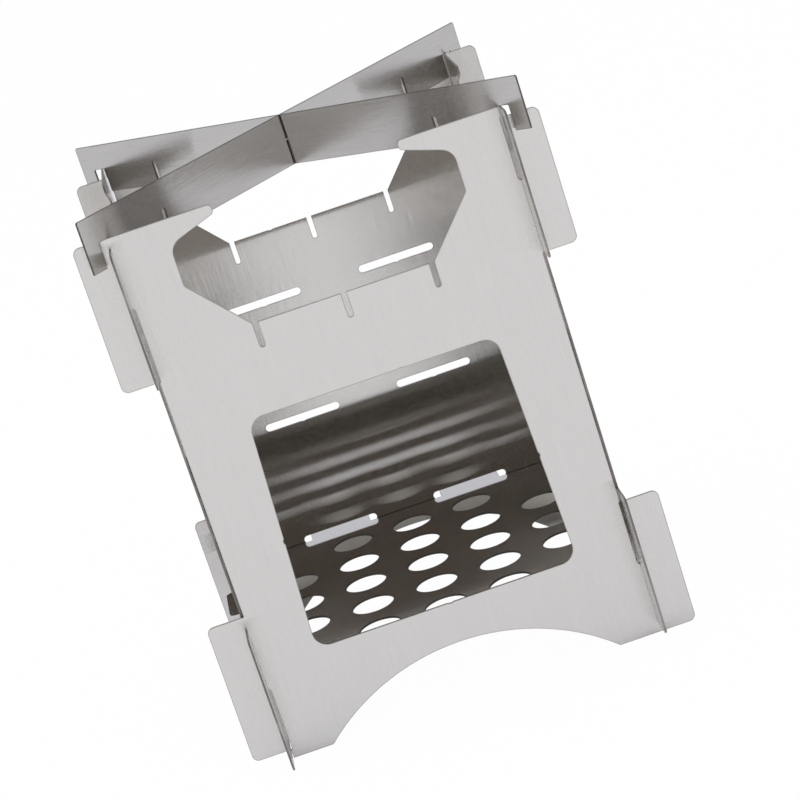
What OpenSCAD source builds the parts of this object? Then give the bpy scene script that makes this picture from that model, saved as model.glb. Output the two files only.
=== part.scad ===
// Folding wood stove cut from flat stainless sheet, drawn standing. Four walls are half-lapped
// where their ears cross at the corners, a perforated grate is held in the lowest slots of three
// walls, and two notched cross bars, half-lapped at their middle, lie over the corners for the pot.
// Millimetres, +Z up, origin on the ground at the middle of the footprint, fuel window towards -Y.

/* [Sheet] */
// Thickness of the sheet that every piece is cut from
sheet_t = 0.6; // [0.4:0.1:1.2]
// Side play of a sheet in a plain slot
slot_play = 0.5; // [0.3:0.1:1]

/* [Walls] */
// Width of the stove over the tips of its lower ears
stove_w = 136.8; // [129:0.1:170]
// Height of a wall
wall_h = 164.2; // [155:0.1:210]
// Gap between a wall's side edge and the neighbouring wall's inner face
edge_clear = 0.3; // [0.2:0.1:0.6]

/* [Ears] */
// How far a lower ear stands out past the neighbouring wall's outer face
ear_reach = 10.5; // [8:0.1:16]
// How much less far an upper ear stands out
ear_step = 0.7; // [0:0.1:2]
// Height of an ear that starts at the top, or at the left foot
ear_h = 43.7; // [38:0.1:50]
// Height of the right foot's ear
foot_ear_h = 42.4; // [36:0.1:50]
// How far the right upper ear's top lies below the wall's top
ear_drop = 3.2; // [2:0.1:6]
// How far the left foot's ear stays above the ground
ear_lift = 2.7; // [1:0.1:5]
// Radius of an ear's outer corners
ear_r = 2; // [1:0.1:4]

/* [Corner laps] */
// Gap from a lap slot's outer side to the neighbouring wall
lap_clear_out = 0.3; // [0.2:0.1:0.6]
// Gap from a lap slot's inner side to the neighbouring wall
lap_clear_in = 0.7; // [0.4:0.1:1.2]
// Gap between the ends of the two slots of one lap
lap_gap = 0.5; // [0.3:0.1:1]
// Height of the lower lap's meeting point
lap_low_z = 22.5; // [18:0.1:28]
// Depth of the upper lap's meeting point below the wall's top
lap_top_depth = 21.6; // [17:0.1:28]

/* [Mouth] */
// Width of the cut-out in a wall's top at its widest
mouth_w = 83; // [74:0.2:92]
// Depth of the cut-out
mouth_depth = 36.1; // [28:0.1:44]
// Height of the cut-out's slanted sides
mouth_slant_h = 16.3; // [10:0.1:20]
// Radius between a slanted side and the upright above it
mouth_side_r = 1.5; // [0.5:0.1:3]
// Radius between the upright and the prong above it
mouth_root_r = 4.5; // [1:0.1:6]
// Gap between the tips of the two prongs over the cut-out
prong_gap = 54.4; // [46:0.2:62]
// Height of a prong at its root
prong_root_h = 7.6; // [5:0.1:10]
// Height of a prong at its tip
prong_tip_h = 2.8; // [1.9:0.1:4]
// Radius of a prong's nose, at most half its height
prong_r = 1.3; // [0.4:0.1:2]
// Distance from the middle to each outer slot in the cut-out's floor
rest_slot_pitch = 26.2; // [18:0.1:30]
// Depth of the slots in the cut-out's floor
rest_slot_depth = 7.4; // [5:0.1:10]

/* [Fuel window] */
// Width of the window's top edge
window_top_w = 74; // [60:0.1:84]
// Width of the window's sill
window_sill_w = 80.2; // [64:0.1:88]
// Height of the window
window_h = 71.8; // [60:0.1:84]
// Height of the sill above the ground
window_sill_z = 30; // [26:0.1:34]
// Radius of the window's corners
window_r = 4.5; // [2:0.1:8]

/* [Break-off nicks] */
// Height above the sill of the nicks in the window's sides, where its scrap was held
side_nick_rise = 34; // [28:0.1:44]
// Height of such a nick
side_nick_h = 1.2; // [1:0.1:3]
// Depth of such a nick
side_nick_depth = 0.3; // [0.2:0.1:2]
// Distance of the nick in the window's top edge from the middle
top_nick_x = 8.6; // [0:0.1:20]
// Distance of the nick in the window's sill from the middle
sill_nick_x = 1.1; // [0:0.1:20]
// Width of the small nicks in the other cut edges
nick_w = 1.2; // [0.6:0.1:2]
// Depth of the small nicks
nick_depth = 0.2; // [0.1:0.1:0.6]

/* [Air slots] */
// Length of an air slot
vent_len = 25.5; // [20:0.1:30]
// Height of an air slot
vent_h = 2.6; // [2:0.1:5]
// Distance between the two slots of one pair
vent_gap = 20; // [14:0.1:30]
// Number of pairs above each other
vent_rows = 3; // [2:1:5]
// Height from the highest pair's middle to the slots in the cut-out's floor
vent_top_gap = 14.7; // [6:0.1:24]
// Height of the lowest pair's middle, which also holds the grate
vent_low_z = 24.4; // [21.5:0.1:27]

/* [Foot arch] */
// Width of the arch at the ground
arch_w = 89.4; // [60:0.2:94]
// Height of the arch
arch_h = 17.6; // [10:0.1:19]

/* [Grate] */
// Gap between the grate's edges and the walls
grate_clear = 0.3; // [0.2:0.1:1]
// Diameter of the grate's holes
hole_d = 13.2; // [8:0.1:15]
// Distance from the grate's edge to the middle of the outermost holes
hole_margin = 16; // [10:0.1:24]
// Number of holes across the middle
holes_across = 5; // [3:2:5]
// How much narrower a tab is than the straight run of its slot
tab_play = 2.5; // [0.6:0.1:6]
// How far a tab reaches past a wall's outer face
tab_reach = 6.8; // [4:0.1:9]
// Radius of a tab's outer corners
tab_r = 2; // [1:0.1:4]

/* [Cross bars] */
// Height of a bar
bar_h = 15.5; // [13:0.1:20]
// Depth of the notches that sit over the corners
notch_h = 7.6; // [5:0.1:9]
// Gap from a notch's inner side to the walls
notch_clear_in = 0.7; // [0.6:0.1:2]
// Gap from a notch's outer side to the walls
notch_clear_out = 2.6; // [1.5:0.1:4]
// Radius of a notch's inner corners
notch_r = 0.5; // [0.2:0.1:0.5]
// Width of the leg outside a notch
leg_w = 5.3; // [4:0.1:8]
// Bevel on a bar's upper end corners
bar_bevel = 0.4; // [0.3:0.1:2]
// Gap between the ends of the two slots where the bars cross
cross_gap = 0.4; // [0.3:0.1:1]

/* [Hidden] */
$fn = 96;
// Overrun of every cut past the edge that it opens
cut = 1;
// Steps of a rounded corner
corner_steps = 10;

// Ear tips, faces and middle of a wall, measured from the stove's axis, and its side edge
foot_ear_tip = stove_w / 2;
top_ear_tip = foot_ear_tip - ear_step;
wall_out = foot_ear_tip - ear_reach;
wall_in = wall_out - sheet_t;
wall_mid = wall_out - sheet_t / 2;
wall_side = wall_in - edge_clear;

// Slots that hold a sheet
play_slot_w = sheet_t + 2 * slot_play;
lap_slot_w = lap_clear_in + sheet_t + lap_clear_out;
lap_slot_x = wall_in - lap_clear_in + lap_slot_w / 2;
lap_top_z = wall_h - lap_top_depth;

// Ears: low end and high end of each
left_top_ear = [wall_h - ear_h, wall_h];
right_top_ear = [wall_h - ear_h, wall_h - ear_drop];
left_foot_ear = [ear_lift, ear_lift + ear_h];
right_foot_ear = [0, foot_ear_h];

// Cut-out and its slots
mouth_floor_z = wall_h - mouth_depth;
mouth_floor_half = rest_slot_pitch + play_slot_w / 2;
nose_r = min(prong_r, prong_tip_h / 2);

// Air slots and the grate that lies on the lowest pair
vent_x = (vent_gap + vent_len) / 2;
vent_top_z = mouth_floor_z - rest_slot_depth - vent_top_gap;
vent_pitch = (vent_top_z - vent_low_z) / (vent_rows - 1);
grate_z = vent_low_z - vent_h / 2;
tab_w = vent_len - vent_h - tab_play;
grate_half = wall_in - grate_clear;
hole_reach = (holes_across - 1) / 2;
hole_pitch = (grate_half - hole_margin) / hole_reach;

// Circle through the arch's feet and crown
arch_r = (pow(arch_w / 2, 2) + pow(arch_h, 2)) / (2 * arch_h);

// Cross bars, measured along the diagonal over the crossing sheets at a corner
diagonal = sqrt(2);
bar_z = wall_h - notch_h;
notch_in = wall_in * diagonal - sheet_t / 2 - notch_clear_in;
notch_out = wall_out * diagonal + sheet_t / 2 + notch_clear_out;
bar_half = notch_out + leg_w;

wall_colour = "#cccacb";
grate_colour = "#8d8a87";
bar_colour = "#b0aeac";

function unit(v) = v / norm(v);

// Points of the arc of radius r that rounds corner b between neighbours a and c
function rounded_corner(a, b, c, r) =
    let (u = unit(a - b), v = unit(c - b), half = acos(u * v) / 2,
         middle = b + unit(u + v) * r / sin(half),
         first = b + u * r / tan(half) - middle,
         last = b + v * r / tan(half) - middle,
         start = atan2(first.y, first.x),
         sweep = (540 + atan2(last.y, last.x) - start) % 360 - 180)
    [for (i = [0 : corner_steps])
        let (angle = start + sweep * i / corner_steps) middle + r * [cos(angle), sin(angle)]];

// The corners [x, y, radius] of an outline's right half, followed by those of its left half
function both_halves(right) =
    let (count = len(right))
    concat(right, [for (i = [1 : count]) let (corner = right[count - i])
        [-corner.x, corner.y, corner.z]]);

// Closed outline whose corners [x, y, radius] are rounded, or left sharp where the radius is zero
module rounded_outline(corners) {
    count = len(corners);
    places = [for (corner = corners) [corner.x, corner.y]];
    polygon([for (i = [0 : count - 1])
        each corners[i].z == 0 ? [places[i]] :
            rounded_corner(places[(i + count - 1) % count], places[i],
                           places[(i + 1) % count], corners[i].z)]);
}

// Rectangle with its low corner at the origin and round corners
module rounded_rectangle(size, r) {
    translate([r, 0]) square([size.x - 2 * r, size.y]);
    translate([0, r]) square([size.x, size.y - 2 * r]);
    for (x = [r, size.x - r], y = [r, size.y - r])
        translate([x, y]) circle(r = r);
}

// Slot with two round ends along X, centred on the origin
module air_slot(length, height) {
    run = length - height;
    square([run, height], center = true);
    for (side = [-1, 1]) translate([side * run / 2, 0]) circle(d = height);
}

// Upright slot centred on x, from its round end at z_end to its open end at z_open
module upright_slot(x, z_end, z_open, width) {
    z_round = z_end + sign(z_open - z_end) * width / 2;
    translate([x, z_round]) circle(d = width);
    translate([x - width / 2, min(z_round, z_open)]) square([width, abs(z_open - z_round)]);
}

// Ear on one side of a wall, drawn from inside the wall so that only its tip is rounded
module ear(side, span, tip) {
    root = wall_side - 2 * ear_r;
    translate([side > 0 ? root : -tip, span[0]])
        rounded_rectangle([tip - root, span[1] - span[0]], ear_r);
}

// Slots by which a wall laps its neighbours: open below on the left, open above on the right
module lap_slots() {
    upright_slot(-lap_slot_x, lap_top_z + lap_gap / 2, left_top_ear[0], lap_slot_w);
    upright_slot(-lap_slot_x, lap_low_z + lap_gap / 2, left_foot_ear[0], lap_slot_w);
    upright_slot(lap_slot_x, lap_top_z - lap_gap / 2, right_top_ear[1], lap_slot_w);
    upright_slot(lap_slot_x, lap_low_z - lap_gap / 2, right_foot_ear[1], lap_slot_w);
}

// Cut-out in a wall's top: slanted sides, uprights and two prongs that reach in over it
module mouth() {
    rounded_outline(both_halves([
        [mouth_floor_half, mouth_floor_z, 0],
        [mouth_w / 2, mouth_floor_z + mouth_slant_h, mouth_side_r],
        [mouth_w / 2, wall_h - prong_root_h, mouth_root_r],
        [prong_gap / 2, wall_h - prong_tip_h, nose_r],
        [prong_gap / 2, wall_h, nose_r],
        [prong_gap / 2 + prong_tip_h, wall_h, 0],
        [prong_gap / 2 + prong_tip_h, wall_h + cut, 0]]));
    for (i = [-1 : 1])
        upright_slot(i * rest_slot_pitch, mouth_floor_z - rest_slot_depth, mouth_floor_z + cut,
                     play_slot_w);
}

// Arch under a wall
module foot_arch() {
    translate([0, arch_h - arch_r]) circle(r = arch_r);
}

// Outline that all four walls share, seen from outside
module wall_outline() {
    difference() {
        union() {
            translate([-wall_side, 0]) square([2 * wall_side, wall_h]);
            ear(-1, left_top_ear, top_ear_tip);
            ear(-1, left_foot_ear, foot_ear_tip);
            ear(1, right_top_ear, top_ear_tip);
            ear(1, right_foot_ear, foot_ear_tip);
        }
        lap_slots();
        mouth();
        foot_arch();
    }
}

// Small nick in a level cut edge
module nick(x, z) {
    translate([x, z]) square([nick_w, 2 * nick_depth], center = true);
}

// Fuel window with a nick in each of its four edges
module fuel_window() {
    top_z = window_sill_z + window_h;
    rounded_outline(both_halves([[window_sill_w / 2, window_sill_z, window_r],
                                 [window_top_w / 2, top_z, window_r]]));
    nick(top_nick_x, top_z);
    nick(sill_nick_x, window_sill_z);
    lean = (window_sill_w - window_top_w) / 2 / window_h;
    nick_out = window_sill_w / 2 - lean * side_nick_rise + side_nick_depth;
    translate([-nick_out, window_sill_z + side_nick_rise - side_nick_h / 2])
        square([2 * nick_out, side_nick_h]);
}

// Pairs of air slots above each other, each with a nick in the middle of its lower edge
module air_slots() {
    for (side = [-1, 1], row = [0 : vent_rows - 1])
        translate([side * vent_x, vent_low_z + row * vent_pitch]) {
            air_slot(vent_len, vent_h);
            nick(0, -vent_h / 2);
        }
}

// Stands a wall's outline up on the front side and turns it to its own side of the stove
module stand(turn) {
    rotate([0, 0, turn]) translate([0, -wall_in, 0]) rotate([90, 0, 0])
        linear_extrude(sheet_t) children();
}

// Wall with air slots, and a nick in its cut-out's floor
module vented_panel(turn) {
    color(wall_colour) stand(turn) difference() {
        wall_outline();
        air_slots();
        nick(rest_slot_pitch / 2, mouth_floor_z);
    }
}

module front_panel() {
    color(wall_colour) stand(0) difference() {
        wall_outline();
        fuel_window();
    }
}

module right_panel() { vented_panel(90); }

module back_panel() { vented_panel(180); }

module left_panel() { vented_panel(270); }

// Two tabs on the grate's back edge, which lie in a wall's lowest air slots
module tab_pair() {
    root = grate_half - 2 * tab_r;
    for (side = [-1, 1])
        translate([side * vent_x - tab_w / 2, root])
            rounded_rectangle([tab_w, wall_out + tab_reach - root], tab_r);
}

module grate() {
    color(grate_colour) translate([0, 0, grate_z]) linear_extrude(sheet_t) difference() {
        union() {
            square(2 * grate_half, center = true);
            for (turn = [-90, 0, 90]) rotate(turn) tab_pair();
        }
        for (i = [-hole_reach : hole_reach], j = [-hole_reach : hole_reach])
            if (abs(i) + abs(j) < 2 * hole_reach)
                translate([i, j] * hole_pitch) circle(d = hole_d);
    }
}

// Cross bar seen from its side; way is 1 where its middle slot opens upwards, -1 where downwards
module bar_outline(way) {
    difference() {
        polygon([[-bar_half, 0], [bar_half, 0], [bar_half, bar_h - bar_bevel],
                 [bar_half - bar_bevel, bar_h], [bar_bevel - bar_half, bar_h],
                 [-bar_half, bar_h - bar_bevel]]);
        for (side = [-1, 1]) {
            rounded_outline([[side * notch_in, -cut, 0], [side * notch_out, -cut, 0],
                             [side * notch_out, notch_h, notch_r], [side * notch_in, notch_h, notch_r]]);
            upright_slot(side * wall_mid, notch_h, -cut, play_slot_w);
        }
        upright_slot(0, (bar_h - way * cross_gap) / 2, way > 0 ? bar_h + cut : -cut, play_slot_w);
    }
}

// Lays a bar over two opposite corners
module cross_bar(turn, way) {
    color(bar_colour) rotate([0, 0, turn]) translate([0, sheet_t / 2, bar_z]) rotate([90, 0, 0])
        linear_extrude(sheet_t) bar_outline(way);
}

module cross_bar_lower() { cross_bar(45, 1); }

module cross_bar_upper() { cross_bar(-45, -1); }

front_panel();
right_panel();
back_panel();
left_panel();
grate();
cross_bar_lower();
cross_bar_upper();
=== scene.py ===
"""Folding wood stove of slotted stainless sheet: its finishes and a plain studio.

The stove's frame has +Z up, its origin on the ground at the middle of the footprint, and the fuel
window towards -Y. Lengths are metres, and values whose names end in _mm are millimetres.
"""
from __future__ import annotations

import logging
import math
from collections.abc import Mapping
from dataclasses import dataclass
from enum import Enum

import bpy
from mathutils import Matrix, Vector


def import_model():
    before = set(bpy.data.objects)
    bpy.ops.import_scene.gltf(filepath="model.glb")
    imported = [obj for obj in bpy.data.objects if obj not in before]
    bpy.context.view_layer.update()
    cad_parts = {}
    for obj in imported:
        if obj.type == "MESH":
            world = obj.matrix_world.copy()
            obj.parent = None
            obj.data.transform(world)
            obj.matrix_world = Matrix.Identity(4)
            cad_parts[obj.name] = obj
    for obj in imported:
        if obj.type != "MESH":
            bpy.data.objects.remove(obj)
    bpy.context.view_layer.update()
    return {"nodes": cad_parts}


LOG = logging.getLogger("folding_stove")
MM = 0.001
WHITE = (1.0, 1.0, 1.0, 1.0)

# Light meets a dozen steel faces or more before it leaves the chamber.
MOST_BOUNCES = 16
MOST_MIRRORED_BOUNCES = 14

# A surface is a cut edge when its direction's share along the sheet's own is below this.
EDGE_SHARE = 0.5
# The rim starts where that share of the rounded edge's direction drops below 1, and is whole here.
RIM_SHARE = 0.9
RIM_SAMPLES = 4
# The painted shade where the bars cross fades out over this share of its reach.
CROSSING_SHADE_FADE = 0.2
# How far the noise rises from the start of a duller line to its full dullness
HAZE_RAMP = 0.15
# Nearly all values of a noise lie between these.
NOISE_LOW, NOISE_HIGH = 0.3, 0.7
# Strength of each finer layer of a noise, for the lines and for the sheet's unevenness
LINE_LAYERING = 0.55
BOW_LAYERING = 0.4


def linear_colour(hex_colour: str) -> tuple[float, float, float, float]:
    """Turn an sRGB hex colour to the linear colour that a shader takes.

    Args:
        hex_colour: Colour written as "#rrggbb".

    Returns:
        Linear red, green and blue, and an alpha of 1.
    """
    shares = [int(hex_colour[i:i + 2], 16) / 255 for i in (1, 3, 5)]
    linear = [s / 12.92 if s <= 0.04045 else ((s + 0.055) / 1.055) ** 2.4 for s in shares]
    return (linear[0], linear[1], linear[2], 1.0)


def find_socket(sockets: bpy.types.bpy_prop_collection, key: str) -> bpy.types.NodeSocket:
    """Find a socket by its identifier or, failing that, by its name.

    Args:
        sockets: A node's inputs or outputs.
        key: Identifier or name of the socket.

    Returns:
        The socket.
    """
    return next((socket for socket in sockets if socket.identifier == key), None) or sockets[key]


def add_node(tree: bpy.types.NodeTree, kind: str, inputs: Mapping[str, object] | None = None,
             **settings: object) -> bpy.types.Node:
    """Add a node with its settings and links.

    Args:
        tree: Tree that gets the node.
        kind: The node's type, such as "ShaderNodeMath".
        inputs: For each input named, the output socket that it is linked to, or its constant.
        **settings: Values for the node's own properties.

    Returns:
        The new node.
    """
    node = tree.nodes.new(kind)
    for name, value in settings.items():
        setattr(node, name, value)
    for key, value in (inputs or {}).items():
        socket = find_socket(node.inputs, key)
        if isinstance(value, bpy.types.NodeSocket):
            tree.links.new(value, socket)
        else:
            socket.default_value = value
    return node


class Facing(Enum):
    """Which way a flat piece of sheet faces: the turn about +Z that brings +Y square to it."""

    FRONT_OR_BACK = 0.0
    LEFT_OR_RIGHT = 90.0
    ACROSS_FRONT_LEFT = 45.0
    ACROSS_FRONT_RIGHT = -45.0
    LEVEL = None

    @property
    def normal(self) -> Vector:
        """Direction square to the sheet."""
        if self is Facing.LEVEL:
            return Vector((0.0, 0.0, 1.0))
        return self.turned((0.0, 1.0, 0.0))

    @property
    def turn(self) -> float:
        """Turn about +Z in radians."""
        return 0.0 if self is Facing.LEVEL else math.radians(self.value)

    def turned(self, direction: tuple[float, float, float]) -> Vector:
        """Turn a direction of the front wall to the same direction of this sheet."""
        return Matrix.Rotation(self.turn, 3, "Z") @ Vector(direction)


class Grain(Enum):
    """Which way the rolling and brushing lines of a piece run, as a direction of the front wall."""

    LENGTHWISE = (1.0, 0.0, 0.0)
    ACROSS = (0.0, 1.0, 0.0)
    UPRIGHT = (0.0, 0.0, 1.0)


@dataclass(frozen=True)
class Bend:
    """Slight lean of a wall's upper part towards the front, which shifts what the wall mirrors.

    It grows from nothing at one height to all its degrees at another.
    """

    degrees: float
    start_mm: float
    end_mm: float


@dataclass(frozen=True)
class StainlessSheet:
    """Cold-rolled 0.6 mm stainless sheet with brushed faces, cut to its outline with heat.

    The rolls and the brush leave fine parallel lines, so a reflection stays sharp along them and
    spreads widely to the side, and the duller lines lay a haze over it. A thin sheet is never quite
    flat, which bends what it mirrors. The cut edges are rough and dull, and the heat of the cut
    leaves a thin brown rim round each face.
    """

    title: str
    face_hex: str
    streak_hex: str
    edge_hex: str
    roughness: float
    anisotropy: float
    edge_roughness: float = 0.5
    # Brown rim that the cut leaves on each face, and its width. On the bars the rim's colour is also painted
    # shade where they cross.
    rim_and_shade_hex: str = "#5a534d"
    rim_width_mm: float = 0.4
    # The finest brushing lines, which can't be told apart and only spread what is mirrored
    line_pitch_mm: float = 0.006
    line_length_mm: float = 0.5
    # Lean of a line's sides for a full swing of the noise
    line_slope: float = 0.9
    # Duller lines among the others: their distance, length, roughness and the noise that starts them
    haze_pitch_mm: float = 0.008
    haze_length_mm: float = 0.7
    haze_roughness: float = 0.42
    haze_start: float = 0.55
    # Rolling leaves broad streaks of slightly different shade, each with finer ones inside it.
    streak_pitch_mm: float = 3.5
    streak_length_mm: float = 160.0
    streak_detail: float = 5.0
    # The brushing that can be seen, drawn coarser than the real lines of about 0.05 mm so that it shows:
    # distance, length, depth of shade and lean
    brush_pitch_mm: float = 0.3
    brush_length_mm: float = 14.0
    brush_depth: float = 0.02
    brush_slope: float = 0.1
    # How far from the stove's axis a bar gets painted shade, standing in for the shadow in the gap where the
    # other bar crosses it
    crossing_shade_reach_mm: float = 0.0
    # Unevenness of the thin sheet itself
    bow_length_mm: float = 55.0
    bow_height_mm: float = 0.03

    def material(self, facing: Facing, grain: Grain, bend: Bend | None = None) -> bpy.types.Material:
        """Make the material of the pieces that face one way.

        Args:
            facing: Which way the sheet faces.
            grain: Which way its lines run.
            bend: How the sheet's upper part leans, if it does.

        Returns:
            The material.
        """
        title = f"{self.title}_{facing.name.lower()}" + ("_bent" if bend else "")
        material = bpy.data.materials.new(title)
        material.use_nodes = True
        tree = material.node_tree
        tree.nodes.clear()
        coordinates = add_node(tree, "ShaderNodeTexCoord")
        place = coordinates.outputs["Object"]
        edge = self._edge_mask(tree, coordinates.outputs["Normal"], facing.normal)
        rim = self._rim_mask(tree, facing.normal)
        # On the bars the rim mask also carries painted shade where they cross, for the shadow in the gap
        # between them.
        if self.crossing_shade_reach_mm > 0:
            rim = add_node(tree, "ShaderNodeMath", {
                "Value": rim, "Value_001": self._crossing_shade_mask(tree, place),
            }, operation="MAXIMUM").outputs[0]
        lines = self._lines(tree, place, facing, grain, self.line_length_mm, self.line_pitch_mm)
        streaks = self._lines(tree, place, facing, grain, self.streak_length_mm, self.streak_pitch_mm,
                              self.streak_detail)
        brushing = self._lines(tree, place, facing, grain, self.brush_length_mm, self.brush_pitch_mm)
        haze = self._lines(tree, place, facing, grain, self.haze_length_mm, self.haze_pitch_mm)
        across = facing.normal.cross(facing.turned(grain.value)).normalized()
        direction = self._relief(tree, place, lines, brushing, across)
        if bend:
            direction = self._bent(tree, place, direction, facing, bend)
        # The tangent's socket takes a link only.
        tangent = add_node(tree, "ShaderNodeVectorMath", {"Vector": across, "Scale": 1.0}, operation="SCALE")
        shader = add_node(tree, "ShaderNodeBsdfPrincipled", {
            "Base Color": self._colour(tree, streaks, brushing, rim, edge),
            "Metallic": 1.0,
            "Roughness": self._roughness(tree, haze, edge),
            "Anisotropic": self.anisotropy,
            "Tangent": tangent.outputs["Vector"],
            "Normal": direction,
        })
        add_node(tree, "ShaderNodeOutputMaterial", {"Surface": shader.outputs["BSDF"]})
        return material

    @staticmethod
    def _share_along(tree: bpy.types.NodeTree, direction: bpy.types.NodeSocket,
                     face: Vector) -> bpy.types.NodeSocket:
        """Give the share of a direction that lies along another, without its sign.

        Args:
            tree: The material's node tree.
            direction: The direction looked at.
            face: Direction square to the sheet.

        Returns:
            Socket that is 1 where both are parallel and 0 where they are square to each other.
        """
        along = add_node(tree, "ShaderNodeVectorMath", {"Vector": direction, "Vector_001": face},
                         operation="DOT_PRODUCT")
        return add_node(tree, "ShaderNodeMath", {"Value": along.outputs["Value"]},
                        operation="ABSOLUTE").outputs[0]

    def _edge_mask(self, tree: bpy.types.NodeTree, normal: bpy.types.NodeSocket,
                   face: Vector) -> bpy.types.NodeSocket:
        """Tell the cut edges from the sheet's two faces.

        Args:
            tree: The material's node tree.
            normal: The surface's own direction.
            face: Direction square to the sheet.

        Returns:
            Socket that is 1 on an edge and 0 on a face.
        """
        return add_node(tree, "ShaderNodeMath", {
            "Value": self._share_along(tree, normal, face), "Value_001": EDGE_SHARE,
        }, operation="LESS_THAN").outputs[0]

    def _rim_mask(self, tree: bpy.types.NodeTree, face: Vector) -> bpy.types.NodeSocket:
        """Find the thin rim round each face that the heat of the cut has browned.

        Args:
            tree: The material's node tree.
            face: Direction square to the sheet.

        Returns:
            Socket that is 1 at the cut and falls to 0 over the rim's width.
        """
        rounded = add_node(tree, "ShaderNodeBevel", {"Radius": self.rim_width_mm * MM}, samples=RIM_SAMPLES)
        return add_node(tree, "ShaderNodeMapRange", {
            "Value": self._share_along(tree, rounded.outputs["Normal"], face),
            "From Min": 1.0, "From Max": RIM_SHARE, "To Min": 0.0, "To Max": 1.0,
        }).outputs["Result"]

    def _crossing_shade_mask(self, tree: bpy.types.NodeTree, place: bpy.types.NodeSocket) -> bpy.types.NodeSocket:
        """Find the strip on the stove's axis where the bars cross, which gets painted shade for the shadow
        in the gap between them.

        Args:
            tree: The material's node tree.
            place: Object coordinates.

        Returns:
            Socket that is 1 on the strip and 0 off it.
        """
        level = add_node(tree, "ShaderNodeVectorMath", {"Vector": place, "Vector_001": (1.0, 1.0, 0.0)},
                         operation="MULTIPLY")
        away = add_node(tree, "ShaderNodeVectorMath", {"Vector": level.outputs["Vector"]},
                        operation="LENGTH")
        return add_node(tree, "ShaderNodeMapRange", {
            "Value": away.outputs["Value"],
            "From Min": self.crossing_shade_reach_mm * MM, "From Max": self.crossing_shade_reach_mm * (1 + CROSSING_SHADE_FADE) * MM,
            "To Min": 1.0, "To Max": 0.0,
        }).outputs["Result"]

    @staticmethod
    def _lines(tree: bpy.types.NodeTree, place: bpy.types.NodeSocket, facing: Facing, grain: Grain,
               length_mm: float, pitch_mm: float, detail: float = 1.0) -> bpy.types.NodeSocket:
        """Draw uneven parallel lines along the grain.

        Args:
            tree: The material's node tree.
            place: Object coordinates.
            facing: Which way the sheet faces.
            grain: Which way the lines run.
            length_mm: Usual length of a line.
            pitch_mm: Usual distance between lines.
            detail: How many times finer lines are laid over them.

        Returns:
            Socket with values about 0.5.
        """
        cell = [(length_mm if grain is own else pitch_mm) * MM
                for own in (Grain.LENGTHWISE, Grain.ACROSS, Grain.UPRIGHT)]
        mapping = add_node(tree, "ShaderNodeMapping", {
            "Vector": place, "Rotation": (0.0, 0.0, facing.turn), "Scale": cell,
        }, vector_type="TEXTURE")
        return add_node(tree, "ShaderNodeTexNoise", {
            "Vector": mapping.outputs["Vector"], "Scale": 1.0, "Detail": detail, "Roughness": LINE_LAYERING,
        }).outputs[0]

    def _colour(self, tree: bpy.types.NodeTree, streaks: bpy.types.NodeSocket,
                brushing: bpy.types.NodeSocket, rim: bpy.types.NodeSocket,
                edge: bpy.types.NodeSocket) -> bpy.types.NodeSocket:
        """Colour the faces with faint streaks, brushing, a brown rim and painted shade where the bars cross,
        and the edges darker.

        Args:
            tree: The material's node tree.
            streaks: Broad streaks along the grain.
            brushing: Narrow lines along the grain.
            rim: The mask of the rims, and on the bars also of the painted shade where they cross.
            edge: The mask of the cut edges.

        Returns:
            Socket with the colour.
        """
        face = add_node(tree, "ShaderNodeMix", {
            "Factor_Float": streaks,
            "A_Color": linear_colour(self.streak_hex),
            "B_Color": linear_colour(self.face_hex),
        }, data_type="RGBA")
        shade = add_node(tree, "ShaderNodeMapRange", {
            "Value": brushing, "From Min": NOISE_LOW, "From Max": NOISE_HIGH,
            "To Min": 1 - self.brush_depth, "To Max": 1 + self.brush_depth,
        })
        brushed = add_node(tree, "ShaderNodeMix", {
            "Factor_Float": 1.0,
            "A_Color": find_socket(face.outputs, "Result_Color"),
            "B_Color": shade.outputs["Result"],
        }, data_type="RGBA", blend_type="MULTIPLY")
        rimmed = add_node(tree, "ShaderNodeMix", {
            "Factor_Float": rim,
            "A_Color": find_socket(brushed.outputs, "Result_Color"),
            "B_Color": linear_colour(self.rim_and_shade_hex),
        }, data_type="RGBA")
        both = add_node(tree, "ShaderNodeMix", {
            "Factor_Float": edge,
            "A_Color": find_socket(rimmed.outputs, "Result_Color"),
            "B_Color": linear_colour(self.edge_hex),
        }, data_type="RGBA")
        return find_socket(both.outputs, "Result_Color")

    def _roughness(self, tree: bpy.types.NodeTree, haze: bpy.types.NodeSocket,
                   edge: bpy.types.NodeSocket) -> bpy.types.NodeSocket:
        """Make the faces glossy with duller lines among them and the edges rough.

        Args:
            tree: The material's node tree.
            haze: Lines along the grain, some of which are duller.
            edge: The mask of the cut edges.

        Returns:
            Socket with the roughness.
        """
        face = add_node(tree, "ShaderNodeMapRange", {
            "Value": haze, "From Min": self.haze_start, "From Max": self.haze_start + HAZE_RAMP,
            "To Min": self.roughness, "To Max": self.haze_roughness,
        })
        return add_node(tree, "ShaderNodeMix", {
            "Factor_Float": edge,
            "A_Float": face.outputs["Result"],
            "B_Float": self.edge_roughness,
        }, data_type="FLOAT").outputs[0]

    def _relief(self, tree: bpy.types.NodeTree, place: bpy.types.NodeSocket, lines: bpy.types.NodeSocket,
                brushing: bpy.types.NodeSocket, across: Vector) -> bpy.types.NodeSocket:
        """Bow the sheet a little and lean it to and fro over the brushing lines.

        Args:
            tree: The material's node tree.
            place: Object coordinates.
            lines: Fine lines along the grain.
            brushing: Narrow lines along the grain that show.
            across: Direction in the sheet's plane, square to the grain.

        Returns:
            Socket with the surface's direction.
        """
        bow = add_node(tree, "ShaderNodeTexNoise", {
            "Vector": place, "Scale": 1 / (self.bow_length_mm * MM),
            "Detail": 1.0, "Roughness": BOW_LAYERING,
        })
        bowed = add_node(tree, "ShaderNodeBump", {
            "Strength": 1.0, "Distance": self.bow_height_mm * MM, "Height": bow.outputs[0],
        })
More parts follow.
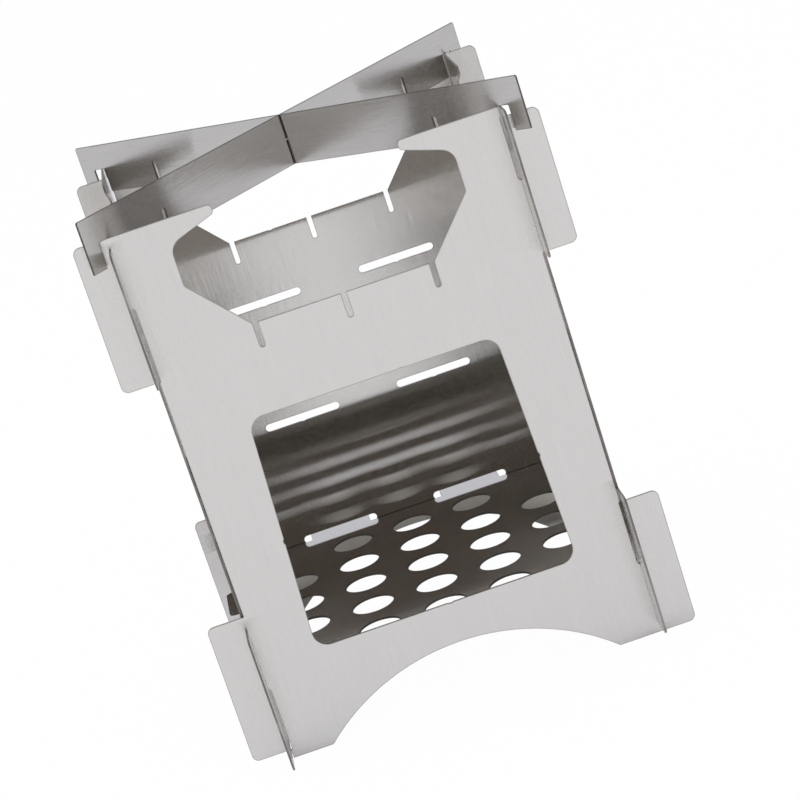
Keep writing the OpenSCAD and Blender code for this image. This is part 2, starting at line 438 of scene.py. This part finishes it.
        # Half of both swings is taken off, so that the sheet leans as much one way as the other.
        fine_lean = add_node(tree, "ShaderNodeMath", {
            "Value": lines, "Value_001": self.line_slope,
            "Value_002": -(self.line_slope + self.brush_slope) / 2,
        }, operation="MULTIPLY_ADD")
        whole_lean = add_node(tree, "ShaderNodeMath", {
            "Value": brushing, "Value_001": self.brush_slope, "Value_002": fine_lean.outputs[0],
        }, operation="MULTIPLY_ADD")
        sideways = add_node(tree, "ShaderNodeVectorMath", {"Vector": across, "Scale": whole_lean.outputs[0]},
                            operation="SCALE")
        leaned = add_node(tree, "ShaderNodeVectorMath", {
            "Vector": bowed.outputs["Normal"], "Vector_001": sideways.outputs["Vector"],
        }, operation="ADD")
        return add_node(tree, "ShaderNodeVectorMath", {"Vector": leaned.outputs["Vector"]},
                        operation="NORMALIZE").outputs["Vector"]

    @staticmethod
    def _bent(tree: bpy.types.NodeTree, place: bpy.types.NodeSocket, direction: bpy.types.NodeSocket,
              facing: Facing, bend: Bend) -> bpy.types.NodeSocket:
        """Lean the sheet's upper part.

        Args:
            tree: The material's node tree.
            place: Object coordinates.
            direction: The surface's direction before the bend.
            facing: Which way the sheet faces.
            bend: How far the sheet leans, and at what heights.

        Returns:
            Socket with the surface's direction.
        """
        sides = add_node(tree, "ShaderNodeSeparateXYZ", {"Vector": place})
        angle = add_node(tree, "ShaderNodeMapRange", {
            "Value": sides.outputs["Z"], "From Min": bend.start_mm * MM, "From Max": bend.end_mm * MM,
            "To Min": 0.0, "To Max": math.radians(bend.degrees),
        })
        return add_node(tree, "ShaderNodeVectorRotate", {
            "Vector": direction, "Axis": facing.turned(Grain.LENGTHWISE.value),
            "Angle": angle.outputs["Result"],
        }, rotation_type="AXIS_ANGLE").outputs["Vector"]


# The walls: a satin brushing that runs upright, so they look pale and even from outside, and inside the
# chamber they mirror each other in bands that are sharp upwards and smeared to the sides.
SATIN_SHEET = StainlessSheet(title="satin_brushed_stainless", face_hex="#dad7d2", streak_hex="#d7d4cf",
                             edge_hex="#b9b4ae", roughness=0.07, anisotropy=1.0, haze_start=0.57,
                             brush_slope=0.12)
# The grate: sheet as bright as it leaves the rolls, a darker mirror of the walls with dark rings round
# its holes.
BRIGHT_SHEET = StainlessSheet(title="bright_rolled_stainless", face_hex="#cecccb", streak_hex="#ccc9c8",
                              edge_hex="#5c5955", roughness=0.09, anisotropy=0.8, line_slope=0.15,
                              haze_start=0.62, rim_and_shade_hex="#35312e")
# The cross bars: duller sheet brushed along their length, which shades softly between light and dark and
# has painted shade where the bars cross, for the shadow in the gap between them.
DULL_SHEET = StainlessSheet(title="dull_brushed_stainless", face_hex="#c9c6c2", streak_hex="#c4c1bd",
                            edge_hex="#625e59", roughness=0.16, anisotropy=0.9, rim_and_shade_hex="#4d4843",
                            line_slope=0.25, haze_start=0.58, brush_depth=0.04, brush_slope=0.06,
                            crossing_shade_reach_mm=0.42)


def dress(node: bpy.types.Object, material: bpy.types.Material) -> None:
    """Give every material slot of a piece one material.

    Args:
        node: The piece.
        material: The material.
    """
    if not node.material_slots:
        node.data.materials.append(material)
    for slot in node.material_slots:
        slot.material = material
    LOG.info("%s dressed in %s", node.name, material.name)


@dataclass
class Walls:
    """The four lapped walls that make the fire chamber."""

    finish: StainlessSheet = SATIN_SHEET
    front: str = "front_panel"
    back: str = "back_panel"
    sides: tuple[str, ...] = ("left_panel", "right_panel")
    # The back wall's upper part leans in, so that it mirrors the window a little higher up.
    back_bend: Bend = Bend(degrees=0.35, start_mm=44.0, end_mm=68.0)

    def build(self, nodes: dict[str, bpy.types.Object]) -> None:
        """Dress the walls.

        Args:
            nodes: The frame's pieces by name.
        """
        dress(nodes[self.front], self.finish.material(Facing.FRONT_OR_BACK, Grain.UPRIGHT))
        dress(nodes[self.back], self.finish.material(Facing.FRONT_OR_BACK, Grain.UPRIGHT, self.back_bend))
        side_material = self.finish.material(Facing.LEFT_OR_RIGHT, Grain.UPRIGHT)
        for name in self.sides:
            dress(nodes[name], side_material)


@dataclass
class Grate:
    """The perforated sheet that lies in the lowest air slots."""

    finish: StainlessSheet = BRIGHT_SHEET
    name: str = "grate"

    def build(self, nodes: dict[str, bpy.types.Object]) -> None:
        """Dress the grate.

        Args:
            nodes: The frame's pieces by name.
        """
        dress(nodes[self.name], self.finish.material(Facing.LEVEL, Grain.ACROSS))


@dataclass
class CrossBars:
    """The two half-lapped bars that carry the pot."""

    finish: StainlessSheet = DULL_SHEET
    lower: str = "cross_bar_lower"
    upper: str = "cross_bar_upper"

    def build(self, nodes: dict[str, bpy.types.Object]) -> None:
        """Dress both bars.

        Args:
            nodes: The frame's pieces by name.
        """
        for name, facing in ((self.lower, Facing.ACROSS_FRONT_LEFT),
                             (self.upper, Facing.ACROSS_FRONT_RIGHT)):
            dress(nodes[name], self.finish.material(facing, Grain.LENGTHWISE))


@dataclass(frozen=True)
class Lamp:
    """A soft square lamp that points at the stove."""

    title: str
    place: tuple[float, float, float]
    side: float
    power: float

    def build(self, target: Vector) -> None:
        """Hang the lamp and point it.

        Args:
            target: The point that it lights.
        """
        light = bpy.data.lights.new(self.title, "AREA")
        light.size = self.side
        light.energy = self.power
        lamp = bpy.data.objects.new(self.title, light)
        lamp.location = self.place
        lamp.rotation_euler = (target - lamp.location).to_track_quat("-Z", "Y").to_euler()
        lamp.visible_glossy = False
        bpy.context.scene.collection.objects.link(lamp)
        LOG.info("%s hung at %s", self.title, self.place)


@dataclass
class Studio:
    """White ground and surroundings, soft lamps and the camera."""

    ground_half: float = 4.0
    ground_hex: str = "#f0eeeb"
    # The lit ground as polished steel mirrors it
    mirrored_hex: str = "#f1f4ff"
    # Share of the ground's brightness that shadows don't reach, where it is seen and where it is mirrored
    ground_glow: float = 0.98
    mirrored_glow: float = 0.6
    # The mirrored share starts this far from the middle, past the dark under the stove, and is whole here.
    glow_start: float = 0.05
    glow_end: float = 0.064
    sky_strength: float = 0.75
    # The sky as polished steel mirrors it
    sky_hex: str = "#e2e4ea"
    # The room behind the camera is dim, and polished steel mirrors it.
    room_direction: tuple[float, float, float] = (0.0, -0.94, 0.34)
    room_half_angle: float = 32.0
    room_soft_angle: float = 30.0
    room_hex: str = "#5c544e"
    lamps: tuple[Lamp, ...] = (
        Lamp("lamp_above", (-0.3, -0.2, 1.4), 1.2, 6.0),
        Lamp("lamp_front", (0.5, -1.3, 0.9), 0.9, 4.0),
    )
    target: tuple[float, float, float] = (0.0, 0.0, 0.08)
    # The camera as fitted to the photograph: place, angles in degrees and lens
    camera_place: tuple[float, float, float] = (-0.01829, -0.7773, 0.30009)
    camera_azimuth: float = 1.903
    camera_elevation: float = 16.048
    camera_roll: float = 18.317
    lens_mm: float = 118.4
    sensor_mm: float = 36.0

    def build(self) -> None:
        """Lay the ground, light the scene and set the camera up."""
        self._ground()
        self._surroundings()
        for lamp in self.lamps:
            lamp.build(Vector(self.target))
        self._camera()

    @staticmethod
    def _mirrored(tree: bpy.types.NodeTree, path: bpy.types.Node) -> bpy.types.NodeSocket:
        """Tell the rays that show something mirrored or seen through glass.

        Args:
            tree: Node tree of the ground or the surroundings.
            path: The node that tells the rays apart.

        Returns:
            Socket that is 1 for such a ray and 0 for the others.
        """
        return add_node(tree, "ShaderNodeMath", {
            "Value": path.outputs["Is Glossy Ray"], "Value_001": path.outputs["Is Transmission Ray"],
        }, operation="MAXIMUM").outputs[0]

    def _mirrored_share(self, tree: bpy.types.NodeTree, path: bpy.types.Node) -> bpy.types.NodeSocket:
        """Give the share of the ground's own brightness in mirrored rays.

        Args:
            tree: The ground's node tree.
            path: The node that tells the rays apart.

        Returns:
            Socket with the share, which is 0 for rays that only light.
        """
        place = add_node(tree, "ShaderNodeTexCoord")
        reach = add_node(tree, "ShaderNodeVectorMath", {"Vector": place.outputs["Object"]},
                         operation="ABSOLUTE")
        sides = add_node(tree, "ShaderNodeSeparateXYZ", {"Vector": reach.outputs["Vector"]})
        away = add_node(tree, "ShaderNodeMath", {
            "Value": sides.outputs["X"], "Value_001": sides.outputs["Y"],
        }, operation="MAXIMUM")
        share = add_node(tree, "ShaderNodeMapRange", {
            "Value": away.outputs[0], "From Min": self.glow_start, "From Max": self.glow_end,
            "To Min": 0.0, "To Max": self.mirrored_glow,
        })
        return add_node(tree, "ShaderNodeMath", {
            "Value": self._mirrored(tree, path), "Value_001": share.outputs["Result"],
        }, operation="MULTIPLY").outputs[0]

    def _ground(self) -> None:
        """Lay a white ground that keeps a soft shadow under the stove."""
        half = self.ground_half
        mesh = bpy.data.meshes.new("ground")
        mesh.from_pydata([(-half, -half, 0.0), (half, -half, 0.0), (half, half, 0.0), (-half, half, 0.0)],
                         [], [(0, 1, 2, 3)])
        ground = bpy.data.objects.new("ground", mesh)
        bpy.context.scene.collection.objects.link(ground)
        # Matt white paper: an even pale ground that gives the steel something bright to mirror
        material = bpy.data.materials.new("white_paper_ground")
        material.use_nodes = True
        tree = material.node_tree
        tree.nodes.clear()
        path = add_node(tree, "ShaderNodeLightPath")
        share = add_node(tree, "ShaderNodeMapRange", {
            "Value": path.outputs["Is Camera Ray"],
            "To Min": self._mirrored_share(tree, path), "To Max": self.ground_glow,
        })
        paper = add_node(tree, "ShaderNodeBsdfDiffuse", {"Color": linear_colour(self.ground_hex)})
        tint = add_node(tree, "ShaderNodeMix", {
            "Factor_Float": path.outputs["Is Camera Ray"],
            "A_Color": linear_colour(self.mirrored_hex),
            "B_Color": WHITE,
        }, data_type="RGBA")
        glow = add_node(tree, "ShaderNodeEmission", {
            "Color": find_socket(tint.outputs, "Result_Color"), "Strength": 1.0,
        })
        both = add_node(tree, "ShaderNodeMixShader", {
            "Fac": share.outputs["Result"],
            "Shader": paper.outputs["BSDF"],
            "Shader_001": glow.outputs["Emission"],
        })
        add_node(tree, "ShaderNodeOutputMaterial", {"Surface": both.outputs[0]})
        mesh.materials.append(material)
        LOG.info("ground laid, %.0f m across", 2 * half)

    def _surroundings(self) -> None:
        """Surround the stove with white, and light it softly from all round."""
        world = bpy.data.worlds.new("white_surroundings")
        world.use_nodes = True
        tree = world.node_tree
        tree.nodes.clear()
        place = add_node(tree, "ShaderNodeTexCoord")
        cosine = add_node(tree, "ShaderNodeVectorMath", {
            "Vector": place.outputs["Generated"],
            "Vector_001": Vector(self.room_direction).normalized(),
        }, operation="DOT_PRODUCT")
        room = add_node(tree, "ShaderNodeMapRange", {
            "Value": cosine.outputs["Value"],
            "From Min": math.cos(math.radians(self.room_half_angle + self.room_soft_angle)),
            "From Max": math.cos(math.radians(self.room_half_angle)),
        }, interpolation_type="SMOOTHERSTEP")
        path = add_node(tree, "ShaderNodeLightPath")
        mirrored = add_node(tree, "ShaderNodeMix", {
            "Factor_Float": room.outputs["Result"],
            "A_Color": linear_colour(self.sky_hex),
            "B_Color": linear_colour(self.room_hex),
        }, data_type="RGBA")
        colour = add_node(tree, "ShaderNodeMix", {
            "Factor_Float": path.outputs["Is Glossy Ray"],
            "A_Color": WHITE,
            "B_Color": find_socket(mirrored.outputs, "Result_Color"),
        }, data_type="RGBA")
        seen = add_node(tree, "ShaderNodeMath", {
            "Value": path.outputs["Is Camera Ray"], "Value_001": self._mirrored(tree, path),
        }, operation="MAXIMUM")
        strength = add_node(tree, "ShaderNodeMapRange", {
            "Value": seen.outputs[0], "To Min": self.sky_strength, "To Max": 1.0,
        })
        sky = add_node(tree, "ShaderNodeBackground", {
            "Color": find_socket(colour.outputs, "Result_Color"), "Strength": strength.outputs["Result"],
        })
        add_node(tree, "ShaderNodeOutputWorld", {"Surface": sky.outputs["Background"]})
        bpy.context.scene.world = world
        LOG.info("surroundings set")

    def _camera(self) -> None:
        """Set up the camera, which is rolled so that the stove leans to the left in the picture."""
        azimuth = math.radians(self.camera_azimuth)
        elevation = math.radians(self.camera_elevation)
        ahead = Vector((math.sin(azimuth) * math.cos(elevation), math.cos(azimuth) * math.cos(elevation),
                        -math.sin(elevation)))
        camera_data = bpy.data.cameras.new("camera")
        camera_data.lens = self.lens_mm
        camera_data.sensor_width = self.sensor_mm
        camera = bpy.data.objects.new("camera", camera_data)
        upright = ahead.to_track_quat("-Z", "Y").to_matrix()
        rolled = upright @ Matrix.Rotation(-math.radians(self.camera_roll), 3, "Z")
        camera.matrix_world = Matrix.Translation(self.camera_place) @ rolled.to_4x4()
        bpy.context.scene.collection.objects.link(camera)
        bpy.context.scene.camera = camera
        LOG.info("camera set at %s", self.camera_place)


def main() -> None:
    """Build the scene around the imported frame."""
    logging.basicConfig(level=logging.INFO, format="%(message)s")
    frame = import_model()
    scene = bpy.context.scene
    scene.view_settings.view_transform = "Standard"
    scene.cycles.max_bounces = MOST_BOUNCES
    scene.cycles.glossy_bounces = MOST_MIRRORED_BOUNCES
    Studio().build()
    for assembly in (Walls(), Grate(), CrossBars()):
        assembly.build(frame["nodes"])


if __name__ == "__main__":
    main()
